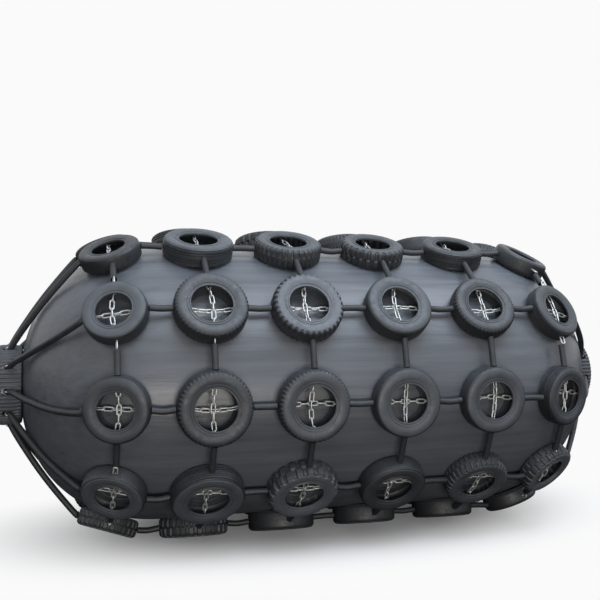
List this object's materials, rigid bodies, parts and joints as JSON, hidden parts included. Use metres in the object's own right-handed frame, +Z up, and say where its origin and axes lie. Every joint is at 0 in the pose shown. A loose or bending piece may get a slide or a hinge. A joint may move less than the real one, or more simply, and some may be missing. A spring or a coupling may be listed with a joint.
{
  "type": "pneumatic fender",
  "caption": "Inflated rubber ship fender with domed ends in a net of chains and tyres, with an end tyre, tow ring, tow shackle and swivel at each end.",
  "frame": {"origin": "on the ground under the middle of the fender's axis", "axes": "+X along the fender towards its right end, +Y away from the side the picture shows, +Z up"},
  "size_m": [6.1286, 2.8398, 2.8077],
  "materials": {
    "moulded_rubber": "satin, weathered",
    "tyre_rubber": "worn, dusty",
    "galvanised_steel": "hot-dip galvanised",
    "primed_steel": "matt primer",
    "valve_brass": "dull"
  },
  "bodies": {
    "fender": {"air_valve_left": "valve_brass", "air_valve_right": "valve_brass", "chain_shackle_left_01": "galvanised_steel", "chain_shackle_left_02": "galvanised_steel", "chain_shackle_left_03": "galvanised_steel", "chain_shackle_left_04": "galvanised_steel", "chain_shackle_left_05": "galvanised_steel", "chain_shackle_left_06": "galvanised_steel", "chain_shackle_left_07": "galvanised_steel", "chain_shackle_left_08": "galvanised_steel", "chain_shackle_left_09": "galvanised_steel", "chain_shackle_left_10": "galvanised_steel", "chain_shackle_right_01": "galvanised_steel", "chain_shackle_right_02": "galvanised_steel", "chain_shackle_right_03": "galvanised_steel", "chain_shackle_right_04": "galvanised_steel", "chain_shackle_right_05": "galvanised_steel", "chain_shackle_right_06": "galvanised_steel", "chain_shackle_right_07": "galvanised_steel", "chain_shackle_right_08": "galvanised_steel", "chain_shackle_right_09": "galvanised_steel", "chain_shackle_right_10": "galvanised_steel", "cross_bar_left": "galvanised_steel", "cross_bar_right": "galvanised_steel", "end_flange_left": "primed_steel", "end_flange_right": "primed_steel", "end_tyre_left": "tyre_rubber", "end_tyre_right": "tyre_rubber", "fender_body": "moulded_rubber", "lug_plate_left": "galvanised_steel", "lug_plate_right": "galvanised_steel", "port_cover_left": "primed_steel", "port_cover_right": "primed_steel", "tow_ring_left": "galvanised_steel", "tow_ring_right": "galvanised_steel", "tyre_row_01": "tyre_rubber", "tyre_row_02": "tyre_rubber", "tyre_row_03": "tyre_rubber", "tyre_row_04": "tyre_rubber", "tyre_row_05": "tyre_rubber", "tyre_row_06": "tyre_rubber", "tyre_row_07": "tyre_rubber", "tyre_row_08": "tyre_rubber", "tyre_row_09": "tyre_rubber", "tyre_row_10": "tyre_rubber"},
    "tow_shackle_left": {"tow_shackle_left": "galvanised_steel", "tow_pin_left": "galvanised_steel", "tow_nut_left": "galvanised_steel"},
    "swivel_eye_left": {"swivel_eye_left": "galvanised_steel"},
    "swivel_head_left": {"swivel_head_left": "galvanised_steel"},
    "tow_shackle_right": {"tow_shackle_right": "galvanised_steel", "tow_pin_right": "galvanised_steel", "tow_nut_right": "galvanised_steel"},
    "swivel_eye_right": {"swivel_eye_right": "galvanised_steel"},
    "swivel_head_right": {"swivel_head_right": "galvanised_steel"}
  },
  "joints": [
    {"name": "tow_shackle_left_hinge", "type": "hinge", "parent": "fender", "child": "tow_shackle_left", "pos_m": [-3.0153, 0, 1.40384], "axis": [0, 0.9877, -0.1564], "range_deg": [0, 120]},
    {"name": "swivel_eye_left_hinge", "type": "hinge", "parent": "tow_shackle_left", "child": "swivel_eye_left", "pos_m": [-3.0153, -0.02597, 1.23989], "axis": [0, 0.9877, -0.1564], "range_deg": [0, 60]},
    {"name": "swivel_head_left_spin", "type": "hinge", "parent": "swivel_eye_left", "child": "swivel_head_left", "pos_m": [-3.0153, -0.02597, 1.23989], "axis": [0, 0.1564, 0.9877], "continuous": true},
    {"name": "tow_shackle_right_hinge", "type": "hinge", "parent": "fender", "child": "tow_shackle_right", "pos_m": [3.0153, 0, 1.40384], "axis": [0, -0.9877, -0.1564], "range_deg": [0, 120]},
    {"name": "swivel_eye_right_hinge", "type": "hinge", "parent": "tow_shackle_right", "child": "swivel_eye_right", "pos_m": [3.0153, 0.02597, 1.23989], "axis": [0, -0.9877, -0.1564], "range_deg": [0, 60]},
    {"name": "swivel_head_right_spin", "type": "hinge", "parent": "swivel_eye_right", "child": "swivel_head_right", "pos_m": [3.0153, 0.02597, 1.23989], "axis": [0, -0.1564, 0.9877], "continuous": true}
  ]
}
